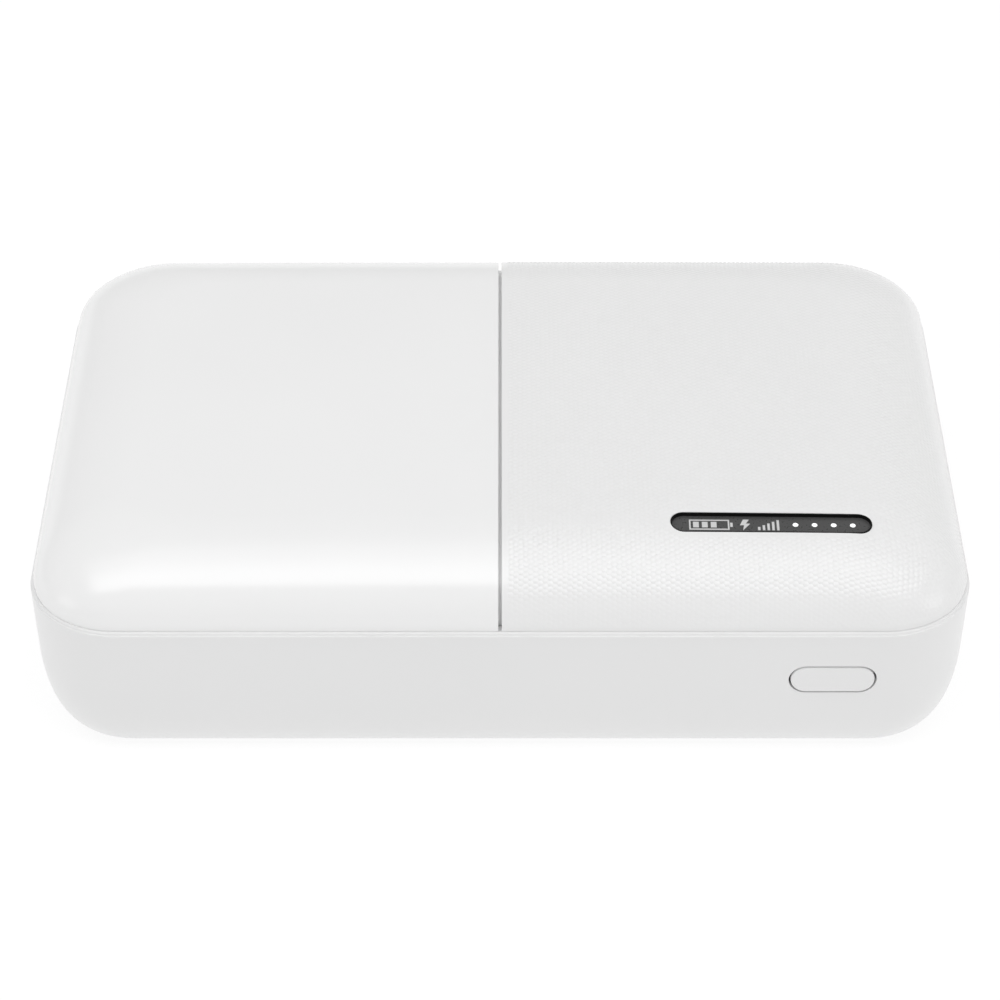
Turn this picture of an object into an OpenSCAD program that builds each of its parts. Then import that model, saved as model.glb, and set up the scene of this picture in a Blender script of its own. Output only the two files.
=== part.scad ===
// Pocket power bank: pillow-topped two-piece case, pouch cells, control board,
// two rectangular output sockets, one oval input socket, a side button and a row of status lights.
// Origin: centre of the flat rest face under the case. +X long side, towards the socket end.
// -Y is the button side, +Z is up. All sizes in millimetres.

/* [Case] */
// Length of the case along X
case_l = 92; // [91:0.5:94]
// Depth of the case along Y
case_d = 60; // [59.5:0.5:62]
// Height of the parting line between shell and cover
seam_z = 16.95; // [16.8:0.05:17.4]
// Corner radius in plan at the parting line
corner_r = 9; // [8:0.25:10]
// Wall thickness of the bottom shell
wall = 1.9; // [1.8:0.05:2]
// Inward draft of the side walls from parting line to floor
wall_draft = 0.84; // [0.6:0.02:0.9]
// Width of the rounded edge under the shell
foot_in = 3.37; // [3:0.05:3.5]
// Height of the rounded edge under the shell
foot_up = 9.9; // [9:0.1:10.2]
// Corner radius in plan at the rest face
foot_r = 6.3; // [6:0.1:7]

/* [Cover] */
// Rise of the pillow edge above the parting line
pillow_up = 6.07; // [5.9:0.05:6.4]
// Width of the pillow edge
pillow_in = 9.85; // [9:0.05:10]
// Corner radius in plan where the pillow edge ends
pillow_r = 5.15; // [5:0.05:6]
// Extra rise of the crown at the middle of the cover
crown = 0.98; // [0.8:0.02:1.1]
// Ledge of the shell rim outside the cover
ledge = 0.33; // [0.25:0.01:0.4]
// Wall thickness of the cover
cover_wall = 2; // [1.9:0.05:2]
// Width of the dividing groove
groove_w = 0.37; // [0.25:0.01:0.5]
// Depth of the dividing groove
groove_t = 0.8; // [0.4:0.05:0.85]

/* [Indicator] */
// Middle of the indicator window along X
win_x = 26.25; // [26:0.05:26.4]
// Middle of the indicator window along Y
win_y = -20.85; // [-20.95:0.05:-20.75]
// Length of the indicator window
win_l = 19.5; // [19.3:0.1:19.6]
// Width of the indicator window
win_w = 2.6; // [2.55:0.05:2.7]
// Position of the first status light along X
led_x = 28.53; // [28.45:0.02:28.6]
// Spacing of the status lights
led_pitch = 1.853; // [1.84:0.001:1.86]

/* [Button] */
// Middle of the button along X
btn_x = 32.27; // [32:0.01:32.6]
// Middle of the button above the rest face
btn_z = 10.81; // [10.75:0.01:10.9]
// Length of the button cap
btn_l = 8.15; // [8:0.05:8.3]
// Height of the button cap
btn_h = 3.1; // [3:0.05:3.15]
// Free gap around the button cap
btn_gap = 0.2; // [0.15:0.01:0.25]
// How far the button face stands out of the wall around it (negative: sunk in)
btn_proud = 0.06; // [-0.1:0.02:0.3]

/* [Sockets] */
// Middle of the first rectangular socket along Y
usb_a1_y = -2.1; // [-2.3:0.1:-1.9]
// Middle of the second rectangular socket along Y
usb_a2_y = 14.4; // [14.2:0.1:14.5]
// Middle of the oval socket along Y
usb_c_y = -16.5; // [-16.7:0.1:-16.3]

/* [Cells] */
// Length of a cell body
cell_l = 63; // [60:0.5:63]
// Width of a cell body
cell_w = 51; // [48:0.5:51]
// Thickness of a cell body
cell_t = 8.9; // [8.5:0.1:8.9]

/* [Hidden] */

hx = case_l/2;
hy = case_d/2;
foot_n = 2.045;          // roundness of the edge under the shell
pillow_n = 1.98;         // roundness of the pillow edge
rim_z = seam_z - 0.05;   // top of the shell wall
board_t = 1.2;
board_z = 9.0;           // top face of the board
board_x0 = 26.0;
board_x1 = hx - 3.0;
board_hy = hy - 4.2;
cell_x0 = -hx + 4.8;
cell_x1 = cell_x0 + cell_l;
cell_z1 = wall + 0.5;
cell_z2 = cell_z1 + cell_t + 0.2;
terrace_l = 3.0;
mouth_x = hx - 0.7;      // sockets end just inside the end wall
usb_z = board_z + 2.85;  // middle of the rectangular sockets
usbc_z = board_z + 1.63; // middle of the oval socket
screw_xy = [[hx - 6.2, -23.4], [hx - 6.2, 23.4], [28.8, 23.4]];
hook_x = [-30, -8, 14];
btn_face = -hy + wall_draft*(seam_z - btn_z)/seam_z - btn_proud; // front of the button
pocket_z = 21.2;         // ceiling of the pocket that holds the window flange
led_y = win_y + 0.1;

$fn = 48;
cs = 8;   // steps in each plan corner
sx = 6;   // steps along each long side
sy = 4;   // steps along each short side

// ---- outlines and lofted skins ----

// Closed outline of a rounded rectangle, anticlockwise, with evenly divided sides.
function outline(ax, ay, r) = [
    for (q = [0:3]) each [
        for (k = [0:cs]) let (a = 90*q + 90*k/cs,
            gx = (q == 0 || q == 3) ? 1 : -1, gy = (q < 2) ? 1 : -1)
            [gx*(ax - r) + r*cos(a), gy*(ay - r) + r*sin(a)],
        for (k = [1:1:(q % 2 == 0 ? sx : sy) - 1])
            let (t = k/(q % 2 == 0 ? sx : sy))
            q == 0 ? [(ax - r)*(1 - 2*t), ay] :
            q == 1 ? [-ax, (ay - r)*(1 - 2*t)] :
            q == 2 ? [-(ax - r)*(1 - 2*t), -ay] :
                     [ax, -(ay - r)*(1 - 2*t)]
    ]];

function at_z(o, z) = [for (p = o) [p[0], p[1], z]];

// Closed solid through a stack of equal-length rings. Each end is closed by a fan
// round its middle point; peak lifts the middle of the last ring.
module skin(rings, peak = 0) {
    n = len(rings[0]);
    m = len(rings);
    function mid(r) = [for (k = [0:2]) let (s = [for (p = r) p[k]]) (min(s) + max(s))/2];
    polyhedron(points = concat([for (r = rings) each r], [mid(rings[0])], [mid(rings[m-1]) + [0, 0, peak]]),
        faces = concat(
            [for (i = [0:n-1]) [i, (i+1) % n, m*n]],
            [for (j = [0:m-2]) for (i = [0:n-1]) each
                let (a = j*n + i, b = j*n + (i+1) % n, c = (j+1)*n + (i+1) % n, d = (j+1)*n + i)
                [[a, d, c], [a, c, b]]],
            [for (i = [0:n-1]) [(m-1)*n + i, m*n + 1, (m-1)*n + (i+1) % n]]),
        convexity = 6);
}

// Quarter-superellipse: u is how far in, v is how far up, both 0 to 1.
function sup_u(t, n) = 1 - pow(max(sin(t), 0), 2/n);
function sup_v(t, n) = 1 - pow(max(cos(t), 0), 2/n);

// Shell body pulled in by d, with its floor lifted by lift.
module shell_skin(d, lift, top) {
    th = [0, 8, 16, 25, 35, 46, 58, 70, 80, 90];
    skin(concat(
        [for (t = th) let (u = sup_u(t, foot_n), z0 = foot_up*sup_v(t, foot_n),
            q = (seam_z - z0)/seam_z,
            r = corner_r + (foot_r - corner_r)*q - d)
            at_z(outline(hx - wall_draft*q - foot_in*u - d, hy - wall_draft*q - foot_in*u - d, max(r, 1)),
                 lift + z0*(seam_z - lift)/seam_z)],
        [at_z(outline(hx - d, hy - d, corner_r - d), top)]));
}

function crown_at(x, y) = crown*(1 - pow(x/hx, 2))*(1 - pow(y/hy, 2));

// Cover body pulled in by d and lowered by dz, starting at z0.
module cover_skin(d, dz, z0) {
    th = [0, 10, 20, 30, 40, 50, 60, 70, 80, 90];
    rim = corner_r - ledge;
    last = outline(hx - ledge - pillow_in - d, hy - ledge - pillow_in - d, max(pillow_r - d, 0.6));
    skin(concat(
        z0 < seam_z ? [at_z(outline(hx - ledge - d, hy - ledge - d, rim - d), z0)] : [],
        [for (t = th) let (u = 1 - pow(max(cos(t), 0), 2/pillow_n), w = pow(max(sin(t), 0), 2/pillow_n),
            r = rim + (pillow_r - rim)*u - d,
            o = outline(hx - ledge - pillow_in*u - d, hy - ledge - pillow_in*u - d, max(r, 0.6)))
            [for (p = o) [p[0], p[1], seam_z + w*(pillow_up + crown_at(p[0], p[1]) - dz)]]],
        [for (s = [0.8, 0.55, 0.28])
            [for (p = last) [p[0]*s, p[1]*s, seam_z + pillow_up + crown_at(p[0]*s, p[1]*s) - dz]]]),
        0.05);
}

// ---- flat helper shapes ----

module rrect(ax, ay, r) {
    square([2*ax - 2*r, 2*ay], center = true);
    square([2*ax, 2*ay - 2*r], center = true);
    for (i = [-1, 1], j = [-1, 1]) translate([i*(ax - r), j*(ay - r)]) circle(r);
}

module pill(l, w) {
    square([l - w, w], center = true);
    for (i = [-1, 1]) translate([i*(l - w)/2, 0]) circle(w/2);
}

// A 2D shape drawn in X and Z, extruded from y0 to y1.
module along_y(x, z, y0, y1) {
    translate([x, y1, z]) rotate([90, 0, 0]) linear_extrude(y1 - y0) children();
}

// A 2D shape drawn with X along +Y and Y along +Z, extruded from x0 to x1.
module along_x(y, z, x0, x1) {
    translate([x0, y, z]) rotate([90, 0, 90]) linear_extrude(x1 - x0) children();
}

module block(x0, x1, y0, y1, z0, z1) {
    translate([x0, y0, z0]) cube([x1 - x0, y1 - y0, z1 - z0]);
}

// ---- case ----

module bottom_shell() {
    color("whitesmoke") difference() {
        union() {
            difference() {
                shell_skin(0, 0, rim_z);
                shell_skin(wall, wall, seam_z + 2);
            }
            intersection() {
                shell_skin(0.5, 0.5, rim_z - 0.4);
                union() {
                    // screw bosses under the board
                    for (p = screw_xy) translate([p[0], p[1], 1]) cylinder(d = 5, h = board_z - board_t - 1);
                    // rib between the cells and the board
                    block(25.0, 25.8, -24, 24, 1, 6.2);
                    // guides beside the button flange
                    for (s = [-1, 1]) block(btn_x + s*6.1 - 0.5, btn_x + s*6.1 + 0.5, -hy + 1, -hy + 3.4, 7.6, 14.6);
                    // board rests at the button side
                    block(36.0, 37.0, -hy + 1, -hy + 6.0, 1, board_z - board_t);
                    block(27.0, 28.0, -hy + 1, -hy + 6.0, 1, board_z - board_t);
                }
            }
        }
        for (p = screw_xy) translate([p[0], p[1], 2.6]) cylinder(d = 1.7, h = 10);
        // windows for the sockets
        for (y = [usb_a1_y, usb_a2_y]) along_x(y, usb_z, hx - 5, hx + 2) rrect(6.75, 3.05, 0.7);
        along_x(usb_c_y, usbc_z, hx - 5, hx + 2) pill(9.34, 3.66);
        // slot for the button
        along_y(btn_x, btn_z, -hy - 2, -hy + 4) pill(btn_l + 2*btn_gap, btn_h + 2*btn_gap);
        // catch pockets
        for (x = hook_x, s = [-1, 1])
            block(x - 3.5, x + 3.5, s > 0 ? hy - 2.6 : -hy + 1.2, s > 0 ? hy - 1.2 : -hy + 2.6, seam_z - 4.8, seam_z - 3.1);
    }
}

module top_cover() {
    color("white") difference() {
        union() {
            difference() {
                cover_skin(0, 0, seam_z);
                cover_skin(cover_wall, cover_wall - 0.2, seam_z - 1);
            }
            // locating lip inside the shell wall
            translate([0, 0, seam_z - 2]) difference() {
                linear_extrude(2.8) rrect(hx - 2.1, hy - 2.1, corner_r - 2.1);
                translate([0, 0, -1]) linear_extrude(5) rrect(hx - 3.25, hy - 3.25, corner_r - 3.25);
            }
            // snap hooks
            for (x = hook_x, s = [-1, 1]) {
                block(x - 3, x + 3, s > 0 ? hy - 3.25 : -hy + 2.2, s > 0 ? hy - 2.2 : -hy + 3.25, seam_z - 4.7, seam_z - 1.5);
                translate([x, s*(hy - 2.1), seam_z - 4.0]) rotate([0, 90, 0]) linear_extrude(6, center = true)
                    polygon([[-0.5, -0.2*s], [0.55, -0.2*s], [0.35, 0.55*s], [0.1, 0.55*s]]);
            }
            // pad around the indicator window
            intersection() {
                translate([win_x, win_y, pocket_z - 0.2]) linear_extrude(4) pill(win_l + 4.4, win_w + 3.6);
                cover_skin(0.6, 0.6, seam_z - 1);
            }
        }
        translate([win_x, win_y, 19]) linear_extrude(8) pill(win_l + 0.08, win_w + 0.08);
        // pocket for the window flange
        translate([win_x, win_y, 18]) linear_extrude(pocket_z - 18) pill(win_l + 3.8, win_w + 3.2);
        // dividing groove
        difference() {
            translate([-groove_w/2, -hy - 1, seam_z - 0.05]) cube([groove_w, case_d + 2, 12]);
            cover_skin(groove_t, groove_t, seam_z - 1);
        }
    }
}

// ---- indicator ----

module win_floor(drop) {
    // half-space under the tilted floor of the window recess
    translate([win_x, win_y, 22.94 - drop]) rotate([5.7, 0.7, 0]) translate([-20, -6, -8]) cube([40, 12, 8]);
}

module indicator_window() {
    color([0.09, 0.09, 0.09]) difference() {
        union() {
            intersection() {
                translate([win_x, win_y, pocket_z - 0.1]) linear_extrude(4) pill(win_l, win_w);
                cover_skin(0.03, 0.03, seam_z - 1);
            }
            translate([win_x, win_y, pocket_z - 0.62]) linear_extrude(0.6) pill(win_l + 3.4, win_w + 2.8);
        }
        difference() {
            translate([win_x, win_y, 21.4]) linear_extrude(5) pill(win_l - 0.2, win_w - 0.2);
            win_floor(0);
        }
        for (i = [0:3]) translate([led_x + i*led_pitch, led_y, 18]) cylinder(d = 0.66, h = 8);
        translate([led_x - 0.75, led_y - 0.75, 19.9]) cube([3*led_pitch + 1.5, 1.5, 2.0]);
    }
}

module light_guide() {
    color([0.9, 0.93, 0.95]) {
        for (i = [0:3]) translate([led_x + i*led_pitch, led_y, 0]) {
            translate([0, 0, 9.75]) cylinder(d = 1.2, h = 9.0);
            intersection() {
                translate([0, 0, 18.6]) cylinder(d = 0.6, h = 5);
                win_floor(-0.04);
            }
        }
        difference() {
            block(led_x - 0.65, led_x + 3*led_pitch + 0.65, led_y - 0.65, led_y + 0.65, 18.7, 19.7);
        }
    }
}

module led_shroud() {
    color([0.12, 0.12, 0.13]) difference() {
        block(led_x - 1.7, led_x + 3*led_pitch + 1.7, led_y - 1.45, led_y + 1.45, board_z, 18.6);
        block(led_x - 0.9, led_x + 3*led_pitch + 0.9, led_y - 1.0, led_y + 1.0, board_z - 1, 9.72);
        for (i = [0:3]) translate([led_x + i*led_pitch, led_y, 9]) cylinder(d = 1.3, h = 12);
    }
}

module status_leds() {
    color([0.95, 0.93, 0.8]) for (i = [0:3]) translate([led_x + i*led_pitch, led_y, board_z]) {
        translate([-0.4, -0.8, 0]) cube([0.8, 1.6, 0.25]);
        translate([-0.4, -0.55, 0.2]) cube([0.8, 1.1, 0.4]);
    }
}

// ---- button and switch ----

flange_y = -hy + 2.6;   // outer face of the button flange, clear of the drafted wall
module power_button() {
    color("white") {
        // domed cap
        difference() {
            along_y(btn_x, btn_z, btn_face, flange_y + 0.1) pill(btn_l, btn_h);
            difference() {
                along_y(btn_x, btn_z, btn_face - 1, btn_face + 0.2) pill(btn_l + 2, btn_h + 2);
                hull() {
                    along_y(btn_x, btn_z, btn_face + 0.19, btn_face + 0.3) pill(btn_l, btn_h);
                    along_y(btn_x, btn_z, btn_face, btn_face + 0.1) pill(btn_l - 0.3, btn_h - 0.3);
                }
            }
        }
        along_y(btn_x, btn_z, flange_y, flange_y + 0.55) rrect(5.3, 2.4, 0.8);
        along_y(btn_x, btn_z, flange_y + 0.5, -hy + 3.35) circle(d = 2.2);
    }
}

sw_y0 = -hy + 4.2;  // front face of the switch housing
module switch_plunger() {
    color([0.75, 0.72, 0.65]) {
        along_y(btn_x, btn_z, -hy + 3.4, sw_y0 + 0.9) circle(d = 2.4);
        along_y(btn_x, btn_z, sw_y0 + 0.45, sw_y0 + 0.9) circle(d = 3.0);
        along_y(btn_x, btn_z, sw_y0 + 0.8, sw_y0 + 1.34) circle(d = 1.0);
    }
}

module switch_body() {
    color([0.15, 0.15, 0.16]) difference() {
        block(btn_x - 3, btn_x + 3, sw_y0, sw_y0 + 2.9, board_z, btn_z + 1.9);
        along_y(btn_x, btn_z, sw_y0 - 0.5, sw_y0 + 0.35) circle(d = 2.6);
        along_y(btn_x, btn_z, sw_y0 + 0.3, sw_y0 + 1.75) circle(d = 3.3);
    }
}

module switch_frame() {
    color("silver") difference() {
        union() {
            block(btn_x - 3.2, btn_x + 3.2, sw_y0 - 0.2, sw_y0, board_z + 0.2, btn_z + 1.9);
            for (s = [-1, 1]) block(btn_x + s*3.1 - 0.1, btn_x + s*3.1 + 0.1, sw_y0 - 0.2, sw_y0 + 1.9, board_z + 0.2, btn_z + 1.3);
        }
        along_y(btn_x, btn_z, sw_y0 - 1, sw_y0 + 1) circle(d = 2.8);
    }
}

// Snap dome under the plunger: a thin spherical cap, edge at the back of the pocket.
module switch_dome() {
    dome_r = 4.4;
    color("silver") translate([btn_x, sw_y0 + 1.74, btn_z]) rotate([90, 0, 0])
        rotate_extrude() polygon([
            for (k = [0:6]) let (a = asin(1.5/dome_r)*k/6) [(dome_r)*sin(a), dome_r*cos(a) - dome_r*cos(asin(1.5/dome_r)) + 0.1],
            for (k = [6:-1:0]) let (a = asin(1.5/dome_r)*k/6) [(dome_r)*sin(a), dome_r*cos(a) - dome_r*cos(asin(1.5/dome_r))]]);
}

module switch_legs() {
    color("silver") for (i = [-1, 1]) {
        block(btn_x + i*2.25 - 0.35, btn_x + i*2.25 + 0.35, sw_y0 + 2.9, sw_y0 + 3.1, board_z, board_z + 0.9);
        block(btn_x + i*3.5 - 0.3, btn_x + i*3.5 + 0.3, sw_y0 + 0.4, sw_y0 + 1.4, board_z, board_z + 0.2);
    }
}

// ---- board ----

module leg_slots(y) {
    for (x = [mouth_x - 8, mouth_x - 3.4], s = [-1, 1])
        block(x - 0.8, x + 0.8, y + s*6.4 - 0.3, y + s*6.4 + 0.3, board_z - 2, board_z + 1);
}

module main_board() {
    w = (board_x1 - board_x0)/2;
    color([0.05, 0.32, 0.16]) difference() {
        translate([board_x0 + w, 0, board_z - board_t]) linear_extrude(board_t) union() {
            rrect(w, board_hy, 5);
            translate([-w, -board_hy]) square([w, 2*board_hy]);
        }
        for (p = screw_xy) translate([p[0], p[1], 5]) cylinder(d = 2.3, h = 6);
        leg_slots(usb_a1_y);
        leg_slots(usb_a2_y);
        for (x = [mouth_x - 6.4, mouth_x - 3.1], s = [-1, 1])
            block(x - 0.6, x + 0.6, usb_c_y + s*4.32 - 0.28, usb_c_y + s*4.32 + 0.28, board_z - 2, board_z + 1);
    }
}

module board_screws() {
    color("silver") for (p = screw_xy) translate([p[0], p[1], board_z]) difference() {
        union() {
            cylinder(d = 3.6, h = 1.2);
            translate([0, 0, -board_t - 3.6]) cylinder(d = 1.7, h = board_t + 3.7);
            translate([0, 0, -board_t]) cylinder(d = 2.0, h = board_t + 0.1);
        }
        translate([0, 0, 0.5]) for (a = [0, 90]) rotate([0, 0, a]) translate([-1.0, -0.18, 0]) cube([2.0, 0.36, 2]);
    }
}

// ---- rectangular sockets ----

module usb_a_shell(y) {
    color("silver") difference() {
        union() {
            along_x(y, usb_z, mouth_x - 14, mouth_x) rrect(6.55, 2.85, 0.5);
            for (x = [mouth_x - 8, mouth_x - 3.4], s = [-1, 1])
                block(x - 0.6, x + 0.6, y + s*6.4 - 0.15, y + s*6.4 + 0.15, board_z - 2.0, board_z + 1.2);
        }
        along_x(y, usb_z, mouth_x - 13.7, mouth_x + 1) rrect(6.25, 2.55, 0.3);
        block(mouth_x - 15, mouth_x - 11.8, y - 5.6, y + 5.6, board_z - 1, board_z + 0.8);
    }
}

// One spring contact: blade on the tongue, then down and out behind the socket.
module contact_a(y) {
    x = mouth_x;
    block(x - 13.1, x - 1.2, y - 0.5, y + 0.5, usb_z - 0.35, usb_z - 0.15);
    block(x - 13.1, x - 12.9, y - 0.5, y + 0.5, board_z, usb_z - 0.15);
    block(x - 15.0, x - 12.9, y - 0.5, y + 0.5, board_z, board_z + 0.2);
}

module contacts_a(y) {
    for (k = [-3.5, -1.0, 1.0, 3.5]) contact_a(y + k);
}

module usb_a_tongue(y) {
    x = mouth_x;
    color([0.93, 0.93, 0.9]) difference() {
        union() {
            block(x - 13.7, x - 9.4, y - 5.5, y + 5.5, board_z, board_z + 1);
            block(x - 13.7, x - 9.4, y - 6.15, y + 6.15, board_z + 0.4, usb_z + 2.45);
            block(x - 9.5, x - 0.6, y - 5.55, y + 5.55, usb_z - 0.15, usb_z + 1.7);
        }
        contacts_a(y);
        block(x - 11.8, x - 9, y - 7, y + 7, board_z - 0.1, board_z + 0.32);
    }
}

module usb_a_contacts(y) {
    color("gold") contacts_a(y);
}

// ---- oval socket ----

module usb_c_shell() {
    x = mouth_x;
    color("silver") difference() {
        union() {
            along_x(usb_c_y, usbc_z, x - 7.6, x) pill(8.94, 3.26);
            for (k = [x - 6.4, x - 3.1], s = [-1, 1])
                block(k - 0.4, k + 0.4, usb_c_y + s*4.32 - 0.12, usb_c_y + s*4.32 + 0.12, board_z - 1.6, usbc_z);
        }
        along_x(usb_c_y, usbc_z, x - 7.4, x + 1) pill(8.5, 2.82);
        block(x - 8, x - 6.4, usb_c_y - 3.4, usb_c_y + 3.4, board_z - 1, board_z + 0.45);
    }
}

module contacts_c() {
    x = mouth_x;
    for (i = [0:7]) {
        y = usb_c_y - 1.75 + 0.5*i;
        block(x - 6.6, x - 1.0, y - 0.13, y + 0.13, usbc_z + 0.27, usbc_z + 0.36);
        block(x - 7.0, x - 1.0, y - 0.13, y + 0.13, usbc_z - 0.36, usbc_z - 0.27);
        block(x - 7.1, x - 7.0, y - 0.13, y + 0.13, board_z, usbc_z - 0.27);
        block(x - 8.4, x - 7.0, y - 0.13, y + 0.13, board_z, board_z + 0.1);
    }
}

module usb_c_tongue() {
    x = mouth_x;
    color([0.1, 0.1, 0.11]) difference() {
        union() {
            along_x(usb_c_y, usbc_z, x - 7.4, x - 5.6) pill(8.4, 2.72);
            block(x - 7.4, x - 6.4, usb_c_y - 3.3, usb_c_y + 3.3, board_z, board_z + 1);
            along_x(usb_c_y, usbc_z, x - 5.7, x - 0.7) rrect(3.35, 0.35, 0.2);
        }
        contacts_c();
    }
}

module usb_c_contacts() {
    color("gold") contacts_c();
}

// ---- cells ----

// Pouch body: rounded slab with soft edges, and the sealed terrace at the tab end.
module pouch(z) {
    e = 2.4;
    mx = (cell_x0 + cell_x1)/2;
    lx = cell_l/2;
    ly = cell_w/2;
    color([0.78, 0.79, 0.8]) {
        translate([mx, 0, z]) skin(concat(
            [for (t = [0, 22, 45, 68, 90]) at_z(outline(lx - e*(1 - sin(t)), ly - e*(1 - sin(t)), 6.0 - e*(1 - sin(t))), e*(1 - cos(t)))],
            [for (t = [90, 68, 45, 22, 0]) at_z(outline(lx - e*(1 - sin(t)), ly - e*(1 - sin(t)), 6.0 - e*(1 - sin(t))), cell_t - e*(1 - cos(t)))]));
        block(cell_x1 - 4, cell_x1 + terrace_l, -ly + 3, ly - 3, z + cell_t/2 - 0.2, z + cell_t/2 + 0.2);
    }
}

module lower_cell() { pouch(cell_z1); }
module upper_cell() { pouch(cell_z2); }

// Flat metal tab from a terrace: out, up or down to the board edge, and a foot on the board.
module cell_tab(y, z, x) {
    zt = z + cell_t/2;
    x0 = cell_x1 + terrace_l;
    foot = board_z;
    block(x0, x + 0.15, y - 2, y + 2, zt - 0.08, zt + 0.07);
    block(x, x + 0.15, y - 2, y + 2, min(zt - 0.08, foot), max(zt + 0.07, foot + 0.15));
    block(x, board_x0 + 1.6, y - 2, y + 2, foot, foot + 0.15);
}

module lower_cell_tabs() { color("silver") for (y = [-7.6, 7.6]) cell_tab(y, cell_z1, 25.2); }
module upper_cell_tabs() { color("silver") for (y = [-13.2, 13.2]) cell_tab(y, cell_z2, 25.2); }

module tab_solder() {
    color([0.8, 0.8, 0.82]) for (y = [-13.2, -7.6, 7.6, 13.2])
        translate([board_x0 + 0.9, y, board_z + 0.15]) intersection() {
            translate([0, 0, -1.0]) sphere(r = 1.6);
            translate([-0.65, -2, 0]) cube([1.3, 4, 1]);
        }
}

module tab_insulation() {
    color([0.85, 0.55, 0.1]) for (z = [cell_z1, cell_z2]) {
        zt = z + cell_t/2;
        block(cell_x1 + 0.2, cell_x1 + terrace_l, -18, 18, zt + 0.2, zt + 0.28);
        block(cell_x1 + 0.2, cell_x1 + terrace_l, -18, 18, zt - 0.28, zt - 0.2);
    }
}

module cell_tape() {
    color([0.96, 0.96, 0.92]) for (y = [-13, 13])
        block(cell_x0 + 6, cell_x1 - 6, y - 7, y + 7, cell_z1 + cell_t, cell_z2);
}

module lower_foam_pad() {
    color([0.25, 0.25, 0.27]) translate([(cell_x0 + cell_x1)/2, 0, wall]) linear_extrude(cell_z1 - wall) rrect(26, 17, 2);
}

module upper_foam_pad() {
    color([0.25, 0.25, 0.27]) translate([(cell_x0 + cell_x1)/2, 0, cell_z2 + cell_t]) linear_extrude(1.0) rrect(25, 16, 2);
}

// Thin insulating card standing between the cells and the back of the sockets.
module insulating_sheet() {
    color([0.82, 0.8, 0.72]) difference() {
        block(25.6, 25.85, -22, 22, board_z + 0.4, 19.2);
        for (y = [-13.2, 13.2]) block(25, 27, y - 2.4, y + 2.4, board_z, 16.3);
        for (y = [-7.6, 7.6]) block(25, 27, y - 2.4, y + 2.4, board_z, board_z + 0.8);
    }
}

// ---- small parts ----

module thermistor() {
    color([0.1, 0.1, 0.1]) translate([17.5, 24.95, cell_z1 + cell_t + 0.1]) hull() {
        sphere(d = 1.2, $fn = 24);
        translate([3.0, 0, 0]) sphere(d = 0.9, $fn = 24);
    }
}

module thermistor_leads() {
    color([0.75, 0.2, 0.15]) for (k = [0, 1]) {
        y = 24.64 + 0.62*k;
        z = cell_z1 + cell_t + 0.1;
        translate([20.8, y, z]) rotate([0, 90, 0]) cylinder(d = 0.4, h = 5.7, $fn = 24);
        translate([26.5, y, z]) sphere(d = 0.4, $fn = 24);
        translate([26.5, y, board_z]) cylinder(d = 0.4, h = z - board_z, $fn = 24);
    }
}

module power_inductor() {
    color([0.25, 0.25, 0.26]) difference() {
        translate([31.6, -15.5, board_z]) linear_extrude(3.0) rrect(3.0, 3.0, 0.6);
        translate([31.6, -15.5, board_z + 2.7]) difference() {
            cylinder(d = 5.0, h = 1);
            translate([0, 0, -1]) cylinder(d = 4.2, h = 3);
        }
    }
}

module controller_chip() {
    color([0.08, 0.08, 0.09]) difference() {
        block(30.6, 35.6, -10.5, -5.5, board_z - board_t - 0.9, board_z - board_t);
        translate([31.5, -9.6, board_z - board_t - 1]) cylinder(d = 0.7, h = 0.2);
    }
}

module protection_chips() {
    color([0.1, 0.1, 0.11]) for (y = [-16.5, 15.5])
        block(30.0, 33.0, y - 2.2, y + 2.2, board_z - board_t - 1.0, board_z - board_t);
}

module ceramic_capacitors() {
    color([0.72, 0.6, 0.45]) {
        for (k = [0:2]) block(27.0, 28.2, -18.8 + k*1.2, -18.0 + k*1.2, board_z, board_z + 0.7);
        for (k = [0:3]) block(33.4, 35.4, 2.0 + 2.4*k, 3.2 + 2.4*k, board_z - board_t - 1.0, board_z - board_t);
        for (k = [0:2]) block(28.6, 29.8, -4 + 3*k, -3.2 + 3*k, board_z - board_t - 0.7, board_z - board_t);
    }
}

module chip_resistors() {
    color([0.1, 0.1, 0.12]) {
        for (k = [0:4]) block(39.8, 40.8, -14.6 + 1.2*k, -14.1 + 1.2*k, board_z - board_t - 0.4, board_z - board_t);
        for (k = [0:4]) block(30.0, 31.0, 6.5 + 1.1*k, 7.0 + 1.1*k, board_z - board_t - 0.4, board_z - board_t);
    }
}

module bulk_capacitors() {
    color([0.85, 0.6, 0.15]) for (y = [-3.4, 0.0, 3.4])
        block(26.6, 29.9, y - 1.4, y + 1.4, board_z, board_z + 1.9);
}

bottom_shell();
top_cover();
indicator_window();
light_guide();
led_shroud();
status_leds();
power_button();
switch_plunger();
switch_body();
switch_frame();
switch_dome();
switch_legs();
main_board();
board_screws();
usb_a_shell(usb_a1_y);  // usb_a_shell_1
usb_a_tongue(usb_a1_y);  // usb_a_tongue_1
usb_a_contacts(usb_a1_y);  // usb_a_contacts_1
usb_a_shell(usb_a2_y);  // usb_a_shell_2
usb_a_tongue(usb_a2_y);  // usb_a_tongue_2
usb_a_contacts(usb_a2_y);  // usb_a_contacts_2
usb_c_shell();
usb_c_tongue();
usb_c_contacts();
lower_cell();
upper_cell();
lower_cell_tabs();
upper_cell_tabs();
tab_solder();
tab_insulation();
cell_tape();
lower_foam_pad();
upper_foam_pad();
insulating_sheet();
thermistor();
thermistor_leads();
power_inductor();
controller_chip();
protection_chips();
ceramic_capacitors();
chip_resistors();
bulk_capacitors();
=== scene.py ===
import math
import bpy
import bmesh
import numpy as np
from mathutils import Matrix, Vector, kdtree
from mathutils.geometry import delaunay_2d_cdt


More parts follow.
